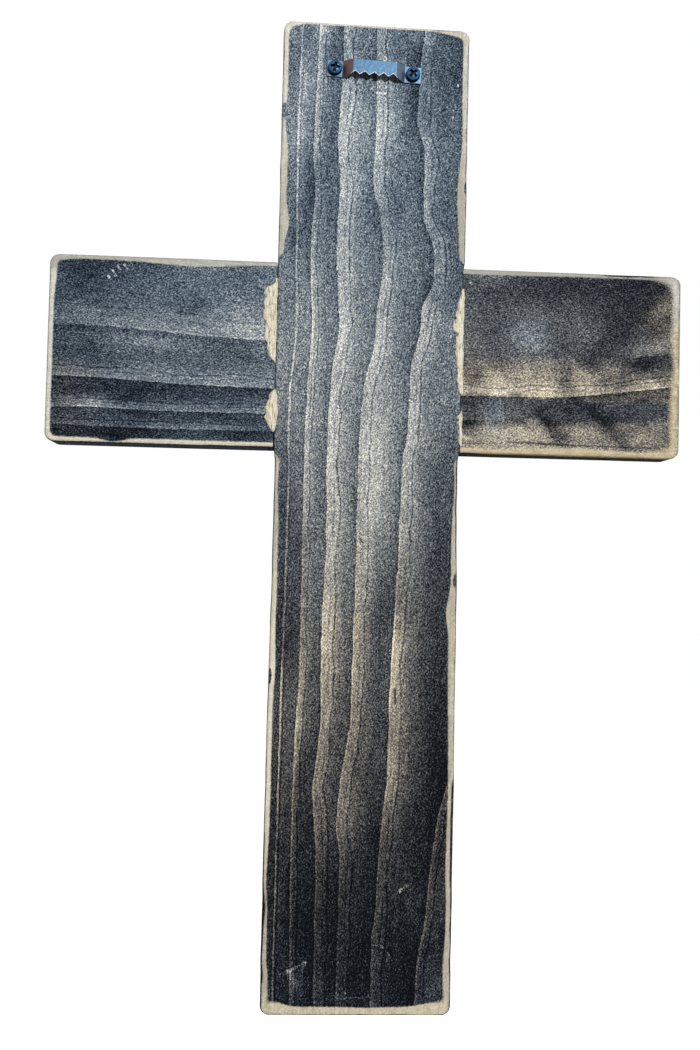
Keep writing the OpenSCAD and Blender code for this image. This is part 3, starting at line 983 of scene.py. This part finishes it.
def hanger():
    """The bent strip, with rounded bends and rims, and a notched and sheared lower edge."""
    x = np.unique(np.concatenate([
        np.arange(-HANGER_HALF, HANGER_HALF + 0.01, 0.23),
        (np.arange(2 * NOTCH_COUNT + 1) / 2 - NOTCH_COUNT / 2) * NOTCH_PITCH]).round(4))
    # The bends are rounded over about a millimetre
    fine = np.arange(-30, 30, 0.05)
    rise = BRIDGE_GAP * np.clip((TAB_END - np.abs(fine)) / (TAB_END - BRIDGE_END), 0, 1)
    kernel = np.hanning(19)
    lift = np.interp(x, fine, np.convolve(rise, kernel / kernel.sum(), mode="same"))
    upper = np.full_like(x, TAB_HALF)
    saw = np.abs((x / NOTCH_PITCH + 0.5) % 1 - 0.5) * 2
    toothed = np.abs(x) < TEETH_END
    rise_low = np.interp(np.abs(x), [TEETH_END, TAB_END], [BRIDGE_LOW_STEP, 0])
    lower = rise_low - TAB_HALF + np.where(toothed, NOTCH_DEPTH * (1 - saw), 0)
    # Round the strip's section: outer or inner face, upper or lower edge, and the way inward
    corners = [(0, 0, 1, 1), (1, 0, -1, 1), (1, 1, -1, -1), (0, 1, 1, -1)]
    loops, sheared = [], []
    for outer, top, sy, sz in corners:
        is_teeth = (outer, top) == (1, 0)
        bevel = TEETH_BEVEL if is_teeth else RIM_BEVEL
        for away_y, away_z in ((0, bevel + 0.05), (0, bevel), (bevel * 0.3, bevel * 0.3),
                               (bevel, 0))[::sy * sz]:
            y = lift + STRIP_THICK * outer + sy * away_y
            z = (upper if top else lower) + sz * away_z
            loops.append(np.stack([x, y, z], axis=-1))
            sheared.append(toothed * float(is_teeth and away_z <= bevel))
    loops = np.stack(loops, axis=1)
    sheared = np.stack(sheared, axis=1).ravel()
    # The cut ends are drawn in a little
    from_end = np.minimum(1, (HANGER_HALF - np.abs(loops[..., :1])) / 0.2)
    middle = loops.mean(axis=1, keepdims=True)
    loops = middle + (loops - middle) * (0.96 + 0.04 * from_end)
    flat = loops.reshape(-1, 3)
    piece = add_mesh("hanger_strip", on_hanger(*flat.T), tube(loops), steel, 20)
    store(piece, "strip", *flat.T)
    store(piece, "sheared", sheared, sheared, sheared)
    ship(piece, "sawtooth_hanger")


def head_height(r):
    """How high a screw head stands at a distance from its middle."""
    return HEAD_H - HEAD_DOME_R + math.sqrt(HEAD_DOME_R ** 2 - r * r)


def pan_screw(name, side, turn, node):
    """A pan-head screw: domed head with a tapered cross recess, threaded shank and a point."""
    theta = np.arange(SCREW_SIDES) / SCREW_SIDES * 2 * math.pi
    cos, sin = np.cos(theta), np.sin(theta)
    turned = math.radians(turn)
    loops = []
    for r in np.concatenate([np.linspace(0.06, 2.6, 36), np.linspace(2.65, CROWN_R, 6)]):
        x, z = r * cos, r * sin
        a = np.abs(x * math.cos(turned) + z * math.sin(turned)) * 2
        b = np.abs(z * math.cos(turned) - x * math.sin(turned)) * 2
        slots = np.minimum(np.maximum(a / RECESS_W, b / RECESS_L),
                           np.maximum(b / RECESS_W, a / RECESS_L))
        cut = RECESS_DEPTH * (1 - step(0.75, 1.0, slots))
        loops.append(np.stack([x, head_height(r) - cut, z, cut], axis=-1))
    shoulder = head_height(CROWN_R)
    rim = [(3.3, shoulder - 0.13), (3.45, shoulder - 0.4), (HEAD_R, shoulder - 0.7),
           (HEAD_R, 0.1), (HEAD_R - 0.1, 0.0), (1.7, 0.0)]
    ones = np.ones(SCREW_SIDES)
    for r, y in rim:
        loops.append(np.stack([r * cos, y * ones, r * sin, ones], axis=-1))
    for y in np.arange(-0.1, -SHANK_L, -0.12):
        taper = np.clip((SHANK_L + y) / SHANK_TIP, 0.08, 1)
        ridge = 1 - 2 * np.abs((y / THREAD_PITCH + theta / (2 * math.pi)) % 1 - 0.5)
        thread = np.clip(2.2 * ridge - 1.1, 0, 1)
        r = taper * (SHANK_CORE + (SHANK_CREST - SHANK_CORE) * thread)
        loops.append(np.stack([r * cos, y * ones, r * sin, 0 * ones], axis=-1))
    loops = np.stack(loops)
    flat = loops.reshape(-1, 4)
    points = on_hanger(flat[:, 0] + side * SCREW_X, flat[:, 1] + STRIP_THICK, flat[:, 2])
    piece = add_mesh(name, points, tube(loops), screw_steel, 35)
    # The fourth number marks painted black shade: the recess by its depth, the head's wall and
    # below
    store(piece, "screw", flat[:, 0], flat[:, 2], flat[:, 3])
    ship(piece, node)


hanger()
pan_screw("screw_left_steel", 1, 8, "screw_left")
pan_screw("screw_right_steel", -1, 45, "screw_right")


# -------- floor and light

# Each lamp's name, place, size in metres and power in watts, and the point they all aim at
LAMPS = [("key", (-0.5, 1.75, 0.42), 0.2, 45.5), ("front", (0.5, -1.5, 0.7), 0.6, 25),
         ("side", (-1.6, -0.45, 0), 0.6, 7), ("side", (1.6, -0.45, 0), 0.6, 7)]
AIM = (0, BACK_Y, -0.2)
FLOOR_HALF, FLOOR_DROP = 6.0, 0.5
# How brightly the camera sees the floor, and how strongly the surround lights the cross
FLOOR_GLOW, SURROUND_LIGHT = 0.96, 0.04


def area_light(name, place, size, power):
    """A round white lamp."""
    data = bpy.data.lights.new(name, "AREA")
    data.shape = "DISK"
    data.size = size
    data.energy = power
    light = add_object(name, data)
    light.location = place
    light.rotation_euler = (Vector(AIM) - Vector(place)).to_track_quat("-Z", "Y").to_euler()


def studio():
    """A white floor and surround, a key light behind the cross and weaker ones round it.

    The surround is white to the camera and in reflections, and lights the cross only faintly.
    """
    g = Graph("studio", world=True)
    bpy.context.scene.world = g.owner
    paths = g.new("LightPath").outputs
    seen = g.math("MAXIMUM", paths["Is Camera Ray"], paths["Is Glossy Ray"])
    g.set(g.shader.inputs["Strength"], g.step(seen, 0.0, 1.0, SURROUND_LIGHT))
    g.set(g.shader.inputs["Color"], (1, 1, 1, 1))

    g = Graph("floor_white")
    to_camera = g.new("LightPath").outputs["Is Camera Ray"]
    g.paint((0.45, 0.45, 0.45, 1), {
        "Roughness": 0.9, "Emission Color": (1, 1, 1, 1),
        "Emission Strength": g.times(to_camera, FLOOR_GLOW)})
    level = upright_low.z - FLOOR_DROP
    corners = np.array([(x * FLOOR_HALF, y * FLOOR_HALF, level)
                        for x, y in ((-1, -1), (1, -1), (1, 1), (-1, 1))])
    add_mesh("floor", corners, [(0, 1, 2, 3)], g.owner)

    for lamp in LAMPS:
        area_light(*lamp)


studio()
